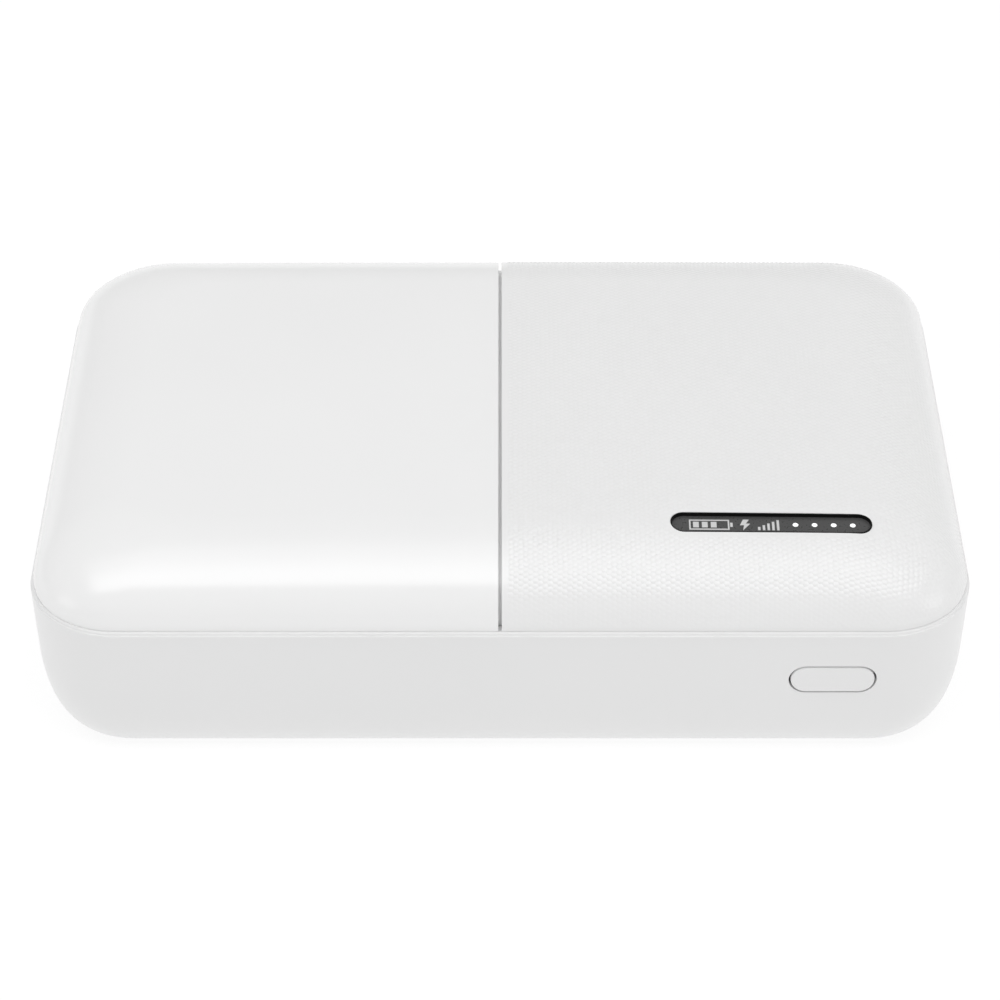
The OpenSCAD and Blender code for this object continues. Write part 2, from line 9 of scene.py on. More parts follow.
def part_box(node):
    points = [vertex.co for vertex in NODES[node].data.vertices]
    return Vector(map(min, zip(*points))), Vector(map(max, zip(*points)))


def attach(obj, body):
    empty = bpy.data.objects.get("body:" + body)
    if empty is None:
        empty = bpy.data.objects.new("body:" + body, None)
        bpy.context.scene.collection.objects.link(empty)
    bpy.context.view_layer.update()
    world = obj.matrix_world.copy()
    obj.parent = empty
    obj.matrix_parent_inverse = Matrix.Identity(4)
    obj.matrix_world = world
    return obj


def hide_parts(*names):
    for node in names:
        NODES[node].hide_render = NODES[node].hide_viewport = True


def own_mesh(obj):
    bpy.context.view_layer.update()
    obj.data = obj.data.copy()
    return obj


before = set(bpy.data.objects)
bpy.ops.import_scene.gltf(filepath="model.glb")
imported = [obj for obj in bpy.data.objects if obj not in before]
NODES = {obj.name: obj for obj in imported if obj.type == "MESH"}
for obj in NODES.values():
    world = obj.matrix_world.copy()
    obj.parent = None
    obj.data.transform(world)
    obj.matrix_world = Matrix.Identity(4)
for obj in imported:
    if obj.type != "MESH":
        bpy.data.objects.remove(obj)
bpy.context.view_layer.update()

MM = 0.001
scene = bpy.context.scene

# ------------------------------------------------------------------ the case, in millimetres
_lo, _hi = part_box("bottom_shell")
HX, HY, RIM_Z = _hi.x / MM, _hi.y / MM, _hi.z / MM
ZS = RIM_Z + 0.05                                         # parting line, underside of the cover
R0, FR, DR, RA, RB, NB = 9.0, 6.3, 0.84, 3.37, 9.9, 2.045  # corner radii, draft and lower edge of the shell
A, B, NP, RT, CR, I0 = 9.85, 6.07, 1.98, 5.15, 0.98, 0.33  # pillow edge, crown and ledge of the cover
WALL, CWALL = 1.9, 2.0
WIN = (26.25, -20.85, 19.5, 2.6)                          # window: x, y, length, width
POCKET = 21.2                                             # ceiling of the pocket that holds its flange
LEDS = [28.53 + 1.853 * i for i in range(4)]
TIP = 0.08                                                # the tips stand this far to the right of the lights
LED_Y = WIN[1] + 0.1
BTN = (32.27, 10.81, 8.15, 3.1)                              # button: x, z, length, height


def crown(x, y):
    return CR * (1 - (x / HX) ** 2) * (1 - (y / HY) ** 2)


def outline(ax, ay, r, nc=14, nx=16, ny=10):
    """Closed anticlockwise rounded rectangle with evenly divided sides."""
    pts = []
    for q in range(4):
        gx, gy = (1 if q in (0, 3) else -1), (1 if q < 2 else -1)
        for k in range(nc + 1):
            a = math.radians(90 * q + 90 * k / nc)
            pts.append((gx * (ax - r) + r * math.cos(a), gy * (ay - r) + r * math.sin(a)))
        n = nx if q % 2 == 0 else ny
        for k in range(1, n):
            t = 1 - 2 * k / n
            pts.append([((ax - r) * t, ay), (-ax, (ay - r) * t), (-(ax - r) * t, -ay), (ax, -(ay - r) * t)][q])
    return np.array(pts)


def pill(l, w, n=16, m=14):
    """Closed anticlockwise outline with round ends, centred on the origin."""
    r, c = w / 2, (l - w) / 2
    pts = [(c + r * math.sin(math.pi * k / n), -r * math.cos(math.pi * k / n)) for k in range(n + 1)]
    pts += [(c - 2 * c * k / m, r) for k in range(1, m)]
    pts += [(-c - r * math.sin(math.pi * k / n), r * math.cos(math.pi * k / n)) for k in range(n + 1)]
    pts += [(-c + 2 * c * k / m, -r) for k in range(1, m)]
    return np.array(pts)


def loft(rings, closed_ends=True):
    """Closed skin through equal-length rings of 3D points; the ends get one flat face each."""
    n = len(rings[0])
    v = np.vstack(rings)
    f = []
    for j in range(len(rings) - 1):
        for i in range(n):
            a, b = j * n + i, j * n + (i + 1) % n
            f.append((a, b, b + n, a + n))
    if closed_ends:
        f.append(tuple(range(n - 1, -1, -1)))
        f.append(tuple(range((len(rings) - 1) * n, len(rings) * n)))
    return v, f


def at(o, z):
    return np.c_[o, np.full(len(o), z) if np.isscalar(z) else z]


def make(name, v, f, smooth=True):
    me = bpy.data.meshes.new(name)
    me.from_pydata((np.asarray(v, float) * MM).tolist(), [], [tuple(int(i) for i in q) for q in f])
    me.validate()
    me.update()
    ob = bpy.data.objects.new(name, me)
    scene.collection.objects.link(ob)
    if smooth:
        me.polygons.foreach_set("use_smooth", [True] * len(me.polygons))
    return ob


def merge_parts(parts):
    """Joins (verts, faces) pairs into one pair."""
    vs, fs, k = [], [], 0
    for v, f in parts:
        vs.append(np.asarray(v, float))
        fs += [tuple(i + k for i in q) for q in f]
        k += len(v)
    return np.vstack(vs), fs


def outward(ob):
    bm = bmesh.new()
    bm.from_mesh(ob.data)
    bmesh.ops.recalc_face_normals(bm, faces=bm.faces)
    bm.to_mesh(ob.data)
    bm.free()
    return ob


def boolean(ob, tool, op):
    outward(tool)
    m = ob.modifiers.new("b", "BOOLEAN")
    m.operation, m.object = op, tool
    try:
        m.solver = "MANIFOLD"
    except TypeError:
        m.solver = "EXACT"
    dg = bpy.context.evaluated_depsgraph_get()
    me = bpy.data.meshes.new_from_object(ob.evaluated_get(dg), depsgraph=dg)
    if len(me.polygons) == 0:
        m.solver = "EXACT"
        dg = bpy.context.evaluated_depsgraph_get()
        me = bpy.data.meshes.new_from_object(ob.evaluated_get(dg), depsgraph=dg)
    ob.modifiers.clear()
    old, ob.data = ob.data, me
    me.name = ob.name
    bpy.data.meshes.remove(old)
    t = tool.data
    bpy.data.objects.remove(tool)
    bpy.data.meshes.remove(t)
    return ob


def cut(ob, v, f):
    return boolean(ob, make("tool", v, f), "DIFFERENCE")


def add(ob, v, f):
    return boolean(ob, make("tool", v, f), "UNION")


def box(x0, x1, y0, y1, z0, z1):
    v = np.array([(x, y, z) for x in (x0, x1) for y in (y0, y1) for z in (z0, z1)], float)
    return v, [(0, 1, 3, 2), (4, 6, 7, 5), (0, 4, 5, 1), (2, 3, 7, 6), (0, 2, 6, 4), (1, 5, 7, 3)]


def rbox(x0, x1, y0, y1, z0, z1, c=0.05):
    """Box with chamfered edges all round."""
    rings = []
    mx, my = (x0 + x1) / 2, (y0 + y1) / 2
    for z, i in ((z0, c), (z0 + c, 0), (z1 - c, 0), (z1, c)):
        ax, ay = (x1 - x0) / 2 - i, (y1 - y0) / 2 - i
        k = c * 0.8
        o = np.array([(ax, -ay + k), (ax, ay - k), (ax - k, ay), (-ax + k, ay), (-ax, ay - k), (-ax, -ay + k), (-ax + k, -ay), (ax - k, -ay)])
        rings.append(at(o + (mx, my), z))
    return loft(rings)


def cyl(x, y, r, z0, z1, n=32, c=0.0):
    a = np.linspace(0, 2 * math.pi, n, endpoint=False)
    o = np.c_[np.cos(a), np.sin(a)]
    rings = []
    for z, k in (((z0, r), (z1, r)) if c <= 0 else ((z0, r - c), (z0 + c, r), (z1 - c, r), (z1, r - c))):
        rings.append(at(o * k + (x, y), z))
    return loft(rings)


def along_y(v):
    """Turns a solid drawn with its outline in X and Y and its depth in Z so the outline lies in X and Z and the depth runs along +Y."""
    v = np.asarray(v, float)
    return np.c_[v[:, 0], v[:, 2], v[:, 1]]


def along_x(v):
    v = np.asarray(v, float)
    return np.c_[v[:, 2], v[:, 0], v[:, 1]]


def sharpen(ob, angle=32.0, extra=None):
    """Smooth faces, with sharp edges where faces meet at more than the angle, and on the edges that extra() names."""
    bm = bmesh.new()
    bm.from_mesh(ob.data)
    lim = math.radians(angle)
    for f in bm.faces:
        f.smooth = True
    for e in bm.edges:
        e.smooth = not (len(e.link_faces) == 2 and e.calc_face_angle(0) > lim)
    if extra:
        extra(bm)
    bm.to_mesh(ob.data)
    bm.free()
    return ob


def clean(ob, dist=0.0004):
    bm = bmesh.new()
    bm.from_mesh(ob.data)
    bmesh.ops.remove_doubles(bm, verts=bm.verts, dist=dist * MM)
    bmesh.ops.dissolve_degenerate(bm, edges=bm.edges, dist=dist * MM * 0.5)
    bmesh.ops.recalc_face_normals(bm, faces=bm.faces)
    bm.to_mesh(ob.data)
    bm.free()
    return ob


# ------------------------------------------------------------------ materials
def nodes_of(m):
    m.use_nodes = True
    t = m.node_tree
    t.nodes.clear()
    out = t.nodes.new("ShaderNodeOutputMaterial")
    p = t.nodes.new("ShaderNodeBsdfPrincipled")
    t.links.new(p.outputs[0], out.inputs[0])
    return t, p


def noise(t, scale, detail=3.0, rough=0.5, stretch=None):
    c = t.nodes.new("ShaderNodeTexCoord")
    n = t.nodes.new("ShaderNodeTexNoise")
    n.inputs["Scale"].default_value = scale
    n.inputs["Detail"].default_value = detail
    n.inputs["Roughness"].default_value = rough
    if stretch:
        mp = t.nodes.new("ShaderNodeMapping")
        mp.inputs["Scale"].default_value = stretch
        t.links.new(c.outputs["Object"], mp.inputs[0])
        t.links.new(mp.outputs[0], n.inputs["Vector"])
    else:
        t.links.new(c.outputs["Object"], n.inputs["Vector"])
    return n.outputs["Fac"]


def ramp(t, fac, stops):
    r = t.nodes.new("ShaderNodeValToRGB")
    el = r.color_ramp.elements
    while len(el) > 1:
        el.remove(el[-1])
    el[0].position, el[0].color = stops[0][0], (*stops[0][1], 1)
    for p, c in stops[1:]:
        e = el.new(p)
        e.color = (*c, 1)
    t.links.new(fac, r.inputs[0])
    return r.outputs[0]


def span(t, fac, lo, hi, a=0.0, b=1.0):
    m = t.nodes.new("ShaderNodeMapRange")
    m.inputs["From Min"].default_value, m.inputs["From Max"].default_value = a, b
    m.inputs["To Min"].default_value, m.inputs["To Max"].default_value = lo, hi
    t.links.new(fac, m.inputs["Value"])
    return m.outputs[0]


def bump(t, p, height, dist_mm, strength=1.0, normal=None):
    b = t.nodes.new("ShaderNodeBump")
    b.inputs["Strength"].default_value = strength
    b.inputs["Distance"].default_value = dist_mm * MM
    t.links.new(height, b.inputs["Height"])
    if normal is not None:
        t.links.new(normal, b.inputs["Normal"])
    t.links.new(b.outputs[0], p.inputs["Normal"])
    return b.outputs[0]


def plastic(name, col, rough, grain=0.35, grain_mm=0.004, spread=0.012, drough=0.05, ior=1.5, coat=0.0, spec=0.5, right=None):
    """Moulded plastic: slight colour drift over centimetres, fine spark-eroded grain, roughness that varies a little."""
    m = bpy.data.materials.new(name)
    t, p = nodes_of(m)
    big = noise(t, 45, 2)
    lo = tuple(max(c * (1 - spread), 0) for c in col)
    hi = tuple(min(c * (1 + spread), 1) for c in col)
    base = ramp(t, big, [(0.3, lo), (0.7, hi)])
    if right is not None:
        # the relief half, at x > 0, is a little greyer
        c = t.nodes.new("ShaderNodeTexCoord")
        sep = t.nodes.new("ShaderNodeSeparateXYZ")
        t.links.new(c.outputs["Object"], sep.inputs[0])
        mx = t.nodes.new("ShaderNodeMix")
        mx.data_type, mx.blend_type = "RGBA", "MULTIPLY"
        t.links.new(span(t, sep.outputs[0], 0.0, 1.0, -0.0001, 0.0001), mx.inputs[0])
        t.links.new(base, mx.inputs[6])
        mx.inputs[7].default_value = (*(k * right / col[0] for k in (1, 1, 1)), 1)
        base = mx.outputs[2]
    t.links.new(base, p.inputs["Base Color"])
    fine = noise(t, 1000 / grain, 3, 0.6)
    t.links.new(span(t, fine, rough - drough, rough + drough, 0.3, 0.7), p.inputs["Roughness"])
    p.inputs["IOR"].default_value = ior
    p.inputs["Specular IOR Level"].default_value = spec
    if coat:
        p.inputs["Coat Weight"].default_value = coat
    bump(t, p, fine, grain_mm)
    return m


def metal(name, col, rough, brushed=None, spread=0.06, scratch_mm=0.002):
    m = bpy.data.materials.new(name)
    t, p = nodes_of(m)
    n = noise(t, 900, 4, 0.55, brushed)
    t.links.new(ramp(t, n, [(0.3, tuple(c * (1 - spread) for c in col)), (0.7, tuple(min(c * (1 + spread), 1) for c in col))]), p.inputs["Base Color"])
    p.inputs["Metallic"].default_value = 1.0
    t.links.new(span(t, n, rough * 0.75, rough * 1.3, 0.3, 0.7), p.inputs["Roughness"])
    bump(t, p, n, scratch_mm)
    return m


M = {}
M["shell"] = plastic("case_white_matte", (0.802, 0.802, 0.802), 0.30, grain=0.30, grain_mm=0.0003, ior=1.58, spread=0.006, drough=0.012)
M["cover"] = plastic("cover_white_satin", (0.852, 0.852, 0.852), 0.20, grain=0.30, grain_mm=0.001, ior=1.58, spread=0.006, right=0.815)
M["window"] = plastic("window_dark_tint", (0.062, 0.062, 0.062), 0.30, grain=0.25, grain_mm=0.001, spread=0.05)
# near-black recess wall of the window: painted shade, darker than the window's own tint
M["rim"] = plastic("window_wall_painted_shade", (0.006, 0.006, 0.006), 0.35, grain=0.25, grain_mm=0.001, spread=0.1, spec=0.15)
M["ink"] = plastic("pictogram_grey_ink", (0.62, 0.62, 0.62), 0.5, grain=0.12, grain_mm=0.002)
M["black"] = plastic("black_matte_plastic", (0.02, 0.02, 0.021), 0.5, grain=0.2, grain_mm=0.004, spread=0.2)
M["socket"] = plastic("socket_insulator", (0.82, 0.82, 0.79), 0.45, grain=0.2, grain_mm=0.003)
M["switchp"] = plastic("switch_plunger_plastic", (0.45, 0.40, 0.31), 0.4, grain=0.2, grain_mm=0.003)
M["chip"] = plastic("chip_epoxy", (0.028, 0.028, 0.03), 0.55, grain=0.08, grain_mm=0.004, spread=0.25)
M["tantalum"] = plastic("tantalum_case", (0.62, 0.33, 0.05), 0.4, grain=0.1, grain_mm=0.003, spread=0.06)
M["ceramic"] = plastic("capacitor_ceramic", (0.42, 0.28, 0.16), 0.35, grain=0.08, grain_mm=0.003, spread=0.12)
M["ledp"] = plastic("led_package", (0.85, 0.80, 0.55), 0.3, grain=0.1, grain_mm=0.001)
M["bead"] = plastic("epoxy_bead", (0.015, 0.015, 0.015), 0.18, grain=0.3, grain_mm=0.004)
M["lead"] = plastic("lead_insulation", (0.42, 0.03, 0.02), 0.35, grain=0.3, grain_mm=0.003)
M["nickel"] = metal("nickel_plate", (0.72, 0.70, 0.67), 0.26, brushed=(0.15, 1, 1))
M["steel"] = metal("bright_steel", (0.62, 0.62, 0.62), 0.3, brushed=(1, 0.3, 1))
M["tin"] = metal("tinned_metal", (0.70, 0.70, 0.70), 0.38)
M["gold"] = metal("gold_flash", (0.83, 0.60, 0.24), 0.22)


def special():
    # clear light guide; its emission is a painted glow that makes the guide and its tips look softly lit
    m = bpy.data.materials.new("clear_acrylic_painted_glow")
    t, p = nodes_of(m)
    n = noise(t, 2500, 2)
    t.links.new(ramp(t, n, [(0.3, (0.90, 0.92, 0.93)), (0.7, (0.97, 0.98, 0.98))]), p.inputs["Base Color"])
    t.links.new(span(t, n, 0.22, 0.34, 0.3, 0.7), p.inputs["Roughness"])
    p.inputs["Subsurface Weight"].default_value = 0.35
    p.inputs["Subsurface Radius"].default_value = (0.001, 0.001, 0.001)
    # painted glow: the guide emits light of its own, with no lamp behind it
    p.inputs["Emission Color"].default_value = (1, 1, 1, 1)
    p.inputs["Emission Strength"].default_value = 0.45
    M["clear"] = m
    # board: solder mask over copper tracks
    m = bpy.data.materials.new("solder_mask")
    t, p = nodes_of(m)
    c = t.nodes.new("ShaderNodeTexCoord")
    br = t.nodes.new("ShaderNodeTexBrick")
    br.inputs["Scale"].default_value = 330
    br.inputs["Mortar Size"].default_value = 0.055
    br.inputs["Brick Width"].default_value = 1.7
    br.inputs["Row Height"].default_value = 0.42
    br.inputs["Color1"].default_value = (0.012, 0.15, 0.055, 1)
    br.inputs["Color2"].default_value = (0.010, 0.13, 0.048, 1)
    br.inputs["Mortar"].default_value = (0.03, 0.25, 0.10, 1)
    t.links.new(c.outputs["Object"], br.inputs["Vector"])
    t.links.new(br.outputs["Color"], p.inputs["Base Color"])
    t.links.new(span(t, noise(t, 1500, 2), 0.22, 0.34, 0.3, 0.7), p.inputs["Roughness"])
    bump(t, p, br.outputs["Fac"], 0.02)
    M["board"] = m
    # aluminium-laminate pouch with faint wrinkles
    m = bpy.data.materials.new("pouch_foil")
    t, p = nodes_of(m)
    w = noise(t, 160, 5, 0.6, (1, 0.5, 1))
    t.links.new(ramp(t, w, [(0.3, (0.55, 0.56, 0.57)), (0.7, (0.68, 0.69, 0.70))]), p.inputs["Base Color"])
    p.inputs["Metallic"].default_value = 0.75
    t.links.new(span(t, noise(t, 700, 3), 0.34, 0.5, 0.3, 0.7), p.inputs["Roughness"])
    bump(t, p, w, 0.15)
    M["foil"] = m
    # amber polyimide film
    m = bpy.data.materials.new("amber_film")
    t, p = nodes_of(m)
    w = noise(t, 400, 3)
    t.links.new(ramp(t, w, [(0.3, (0.50, 0.20, 0.02)), (0.7, (0.66, 0.30, 0.04))]), p.inputs["Base Color"])
    t.links.new(span(t, w, 0.15, 0.3, 0.3, 0.7), p.inputs["Roughness"])
    bump(t, p, w, 0.03)
    M["amber"] = m
    # closed-cell foam
    m = bpy.data.materials.new("grey_foam")
    t, p = nodes_of(m)
    c = t.nodes.new("ShaderNodeTexCoord")
    vo = t.nodes.new("ShaderNodeTexVoronoi")
    vo.inputs["Scale"].default_value = 2600
    t.links.new(c.outputs["Object"], vo.inputs["Vector"])
    t.links.new(ramp(t, vo.outputs["Distance"], [(0.0, (0.03, 0.03, 0.032)), (0.6, (0.075, 0.075, 0.08))]), p.inputs["Base Color"])
    t.links.new(span(t, vo.outputs["Distance"], 0.7, 0.95, 0.0, 0.6), p.inputs["Roughness"])
    bump(t, p, vo.outputs["Distance"], 0.08)
    M["foam"] = m
    # papers
    for key, name, col in (("tape", "white_tissue_tape", (0.80, 0.80, 0.76)), ("card", "insulating_card", (0.55, 0.50, 0.38))):
        m = bpy.data.materials.new(name)
        t, p = nodes_of(m)
        w = noise(t, 1200, 5, 0.7, (1, 0.25, 0.25))
        t.links.new(ramp(t, w, [(0.3, tuple(k * 0.93 for k in col)), (0.7, col)]), p.inputs["Base Color"])
        t.links.new(span(t, w, 0.75, 0.95, 0.3, 0.7), p.inputs["Roughness"])
        bump(t, p, w, 0.02)
        M[key] = m
    # ferrite block
    m = bpy.data.materials.new("ferrite")
    t, p = nodes_of(m)
    w = noise(t, 4000, 4, 0.65)
    t.links.new(ramp(t, w, [(0.3, (0.05, 0.05, 0.052)), (0.7, (0.10, 0.10, 0.104))]), p.inputs["Base Color"])
    t.links.new(span(t, w, 0.6, 0.85, 0.3, 0.7), p.inputs["Roughness"])
    bump(t, p, w, 0.03)
    M["ferrite"] = m


special()


def paint(ob, m):
    ob.data.materials.clear()
    ob.data.materials.append(m)
    return ob


def piece(ob, m, body, slot, *nodes):
    paint(ob, m)
    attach(ob, body)
    if nodes:
        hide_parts(*nodes)
    return ob


# ------------------------------------------------------------------ bottom shell
def shell_rings(d, lift, top, steps=26, fine=True):
    nc, nx, ny = (18, 20, 12) if fine else (12, 8, 6)
    rings = []
    for t in np.linspace(0, math.pi / 2, steps):
        s, c = max(math.sin(t), 0), max(math.cos(t), 0)
        u, v = 1 - s ** (2 / NB), 1 - c ** (2 / NB)
        z0 = RB * v
        q = (ZS - z0) / ZS
        ins = DR * q + RA * u + d
        rings.append(at(outline(HX - ins, HY - ins, max(R0 + (FR - R0) * q - d, 1), nc, nx, ny), lift + z0 * (ZS - lift) / ZS))
    zb = lift + RB * (ZS - lift) / ZS
    for k in range(1, 8):
        z = zb + (top - zb) * k / 7
        q = max(ZS - z, 0) / ZS
        ins = DR * q + d
        rings.append(at(outline(HX - ins, HY - ins, R0 + (FR - R0) * q - d, nc, nx, ny), z))
    return rings


def wall_y(z):
    """Y of the outer front wall at height z."""
    q = (ZS - z) / ZS
    return -(HY - DR * q)


def build_shell():
    # rim: rounded outer edge, a narrow ledge, and a small slope up to the cover
    rings = shell_rings(0, 0, RIM_Z - 0.62)
    nc, nx, ny = 18, 20, 12
    # inner rings of the rest face, so it shades flat
    base = [rings[0] * (k, k, 1) for k in (0.55, 0.9)]
    rim = [(0.012, -0.58), (0.014, -0.52), (0.022, -0.45), (0.045, -0.385), (0.14, -0.315), (0.152, -0.29), (0.158, -0.15), (0.175, -0.115), (0.275, -0.045), (0.295, -0.012), (0.35, 0.0)]
    rim = [(i, RIM_Z + 0.025 + z) for i, z in rim]
    for i, z in rim:
        rings.append(at(outline(HX - i, HY - i, R0 - i, nc, nx, ny), z))
    v, f = loft(base + rings)
    ob = outward(make("bottom_shell_fine", v, f))
    iv, jf = loft(shell_rings(WALL, WALL, RIM_Z + 2, 14, False))
    cut(ob, iv, jf)
    # inside features, all kept within the wall's outer face
    parts = []
    for x, y in ((HX - 6.2, -23.4), (HX - 6.2, 23.4), (28.8, 23.4)):
        parts.append(cyl(x, y, 2.5, 1.2, 7.8, 40))
    parts.append(rbox(25.0, 25.8, -24, 24, 1, 6.2, 0.12))
    for s in (-1, 1):
        parts.append(box(BTN[0] + s * 6.1 - 0.5, BTN[0] + s * 6.1 + 0.5, -HY + 1, -HY + 3.4, 7.6, 14.6))
    parts.append(box(36, 37, -HY + 1, -HY + 6, 1, 7.8))
    parts.append(box(27, 28, -HY + 1, -HY + 6, 1, 7.8))
    tv, tf = merge_parts(parts)
    tool = outward(make("inside", tv, tf))
    kv, kf = loft(shell_rings(0.5, 0.5, RIM_Z - 0.4, 14, False))
    boolean(tool, make("keep", kv, kf), "INTERSECT")
    boolean(ob, tool, "UNION")
    tools = []
    for x, y in ((HX - 6.2, -23.4), (HX - 6.2, 23.4), (28.8, 23.4)):
        tools.append(cyl(x, y, 0.85, 2.6, 9.0, 32))
    # button slot with a softened outer edge
    yw = -HY + DR * (ZS - BTN[1]) / ZS
    o = lambda g: pill(BTN[2] + 0.4 + g, BTN[3] + 0.4 + g, 20, 12) + (BTN[0], BTN[1])
    v, f = loft([at(o(0), -HY + 4), at(o(0), yw + 0.03), at(o(0.02), yw + 0.0), at(o(0.05), yw - 0.06), at(o(0.06), -HY - 2)])
    tools.append((along_y(v), f))
    # socket windows, with softened outer edges
    for y in (-2.1, 14.4):
        r = lambda g: outline(6.75 + g, 3.05 + g, 0.7 + g, 8, 4, 4) + (y, 11.85)
        xw = HX - DR * (ZS - 11.85) / ZS
        v, f = loft([at(r(0), HX - 5), at(r(0), xw - 0.22), at(r(0.06), xw - 0.1), at(r(0.22), xw + 0.06), at(r(0.24), HX + 2)])
        tools.append((along_x(v), f))
    r = lambda g: pill(9.34 + 2 * g, 3.66 + 2 * g, 20, 8) + (-16.5, 10.63)
    xw = HX - DR * (ZS - 10.63) / ZS
    v, f = loft([at(r(0), HX - 5), at(r(0), xw - 0.22), at(r(0.06), xw - 0.1), at(r(0.22), xw + 0.06), at(r(0.24), HX + 2)])
    tools.append((along_x(v), f))
    for x in (-30, -8, 14):
        tools.append(box(x - 3.5, x + 3.5, HY - 2.6, HY - 1.2, ZS - 4.8, ZS - 3.1))
        tools.append(box(x - 3.5, x + 3.5, -HY + 1.2, -HY + 2.6, ZS - 4.8, ZS - 3.1))
    tv, tf = merge_parts(tools)
    cut(ob, tv, tf)
    clean(ob)
    sharpen(ob, 28)
    return piece(ob, M["shell"], "case", "shell_plastic", "bottom_shell")


# ------------------------------------------------------------------ top cover
# The cover is laid out flat on a plane (u, v) and wrapped on to the pillow, so that the moulded relief
# keeps its pitch over the edges. s is the distance outside the flat middle, measured along the surface.
TH_MIN = math.radians(1.0)
_th = np.linspace(math.pi / 2, TH_MIN, 900)
_u = 1 - np.maximum(np.cos(_th), 0) ** (2 / NP)
_w = np.maximum(np.sin(_th), 0) ** (2 / NP)
_in, _zz = I0 + A * _u, (B + 0.35) * _w
_s = np.r_[0, np.cumsum(np.hypot(np.diff(_in), np.diff(_zz)))]
L = float(_s[-1])
HX1, HY1 = HX - I0 - A, HY - I0 - A
CX1, CY1 = HX1 - RT, HY1 - RT


def plane_s(u, v):
    U, V = np.abs(u), np.abs(v)
    s = np.maximum(U - HX1, V - HY1)
    c = (U > CX1) & (V > CY1)
    return np.where(c, np.hypot(np.maximum(U - CX1, 0), np.maximum(V - CY1, 0)) - RT, s)


def wrap(u, v, sink=0.0):
    """Points of the cover's outer face for points of the flat plane."""
    u, v = np.asarray(u, float), np.asarray(v, float)
    U, V = np.abs(u), np.abs(v)
    s = np.clip(plane_s(u, v), 0, L)
    ins = np.interp(s, _s, _in)
    w = np.interp(s, _s, _w)
    q = (ins - I0) / A
    r = (R0 - I0) + (RT - (R0 - I0)) * q
    cx, cy = HX - ins - r, HY - ins - r
    x, y = U.copy(), V.copy()
    corner = (U > CX1) & (V > CY1)
    out = plane_s(u, v) > 0
    a = out & ~corner & (V > HY1)
    y = np.where(a, HY - ins, y)
    b = out & ~corner & (U > HX1)
    x = np.where(b, HX - ins, x)
    k = out & corner
    f = np.arctan2(np.maximum(V - CY1, 1e-12), np.maximum(U - CX1, 1e-12)) / (math.pi / 2)
    ey, ex, arc = cy - CY1, cx - CX1, r * math.pi / 2
    d = f * (ey + arc + ex)
    psi = np.clip((d - ey) / np.maximum(r, 1e-9), 0, math.pi / 2)
    x3 = np.where(d < ey, HX - ins, np.where(d < ey + arc, cx + r * np.cos(psi), cx - (d - ey - arc)))
    y3 = np.where(d < ey, CY1 + d, np.where(d < ey + arc, cy + r * np.sin(psi), HY - ins))
    x, y = np.where(k, x3, x) * np.sign(u), np.where(k, y3, y) * np.sign(v)
    z = ZS + w * (B + crown(x, y))
    return np.stack([x, y, z], -1)


def wrap_normal(u, v):
    e = 0.02
    a = wrap(u + e, v) - wrap(u - e, v)
    b = wrap(u, v + e) - wrap(u, v - e)
    n = np.cross(a, b)
    n /= np.maximum(np.linalg.norm(n, axis=-1, keepdims=True), 1e-12)
    return n


def z_cover(x, y):
    """Height of the cover's outer face over (x, y), away from the corners."""
    ins = np.minimum(HX - np.abs(x), HY - np.abs(y))
    q = np.clip((ins - I0) / A, 0, 1)
    w = (1 - (1 - q) ** NP) ** (1 / NP)
    return ZS + w * (B + crown(x, y))


GW, GD, GB = 0.168, 0.87, 0.012      # groove half width, depth and edge break
G = GW + GB
S_ROWS = L * (np.linspace(0, 1, 30)[1:])
T_ROWS = np.array([1.0, 0.92, 0.8, 0.65, 0.5, 0.35, 0.2, 0.1])
HEX_A, HEX_B, HEX_H = 0.939, 0.556, 0.074


def groove_v():
    v = np.r_[-(HY1 + S_ROWS[::-1]), -HY1 * T_ROWS, 0, HY1 * T_ROWS[::-1], HY1 + S_ROWS]
    return v


def left_skin():
    def half(s, n_side=26, n_cor=18, n_end=14):
        """Half outline on the plane, from the groove's back end round the left to its front end."""
        p = [(-G - (CX1 - G) * k / n_side, HY1 + s) for k in range(n_side)]
        p += [(-CX1 - (RT + s) * math.sin(a), CY1 + (RT + s) * math.cos(a)) for a in np.linspace(0, math.pi / 2, n_cor + 1)]
        p += [(-HX1 - s, CY1 - 2 * CY1 * k / n_end) for k in range(1, n_end)]
        p += [(-CX1 - (RT + s) * math.cos(a), -CY1 - (RT + s) * math.sin(a)) for a in np.linspace(0, math.pi / 2, n_cor + 1)]
        p += [(-CX1 + (CX1 - G) * k / n_side, -HY1 - s) for k in range(1, n_side + 1)]
        return np.array(p)
    rows = [half(s) for s in S_ROWS[::-1]]
    base = half(0)
    for t in T_ROWS:
        rows.append(np.c_[-G + (base[:, 0] + G) * t, base[:, 1] * t])
    n = len(base)
    uv = np.vstack(rows + [np.array([[-G, 0.0]])])
    f = []
    for j in range(len(rows) - 1):
        for i in range(n - 1):
            a = j * n + i
            f.append((a, a + 1, a + 1 + n, a + n))
    a = (len(rows) - 1) * n
    for i in range(n - 1):
        f.append((a + i, a + i + 1, len(uv) - 1))
    return wrap(uv[:, 0], uv[:, 1]), f


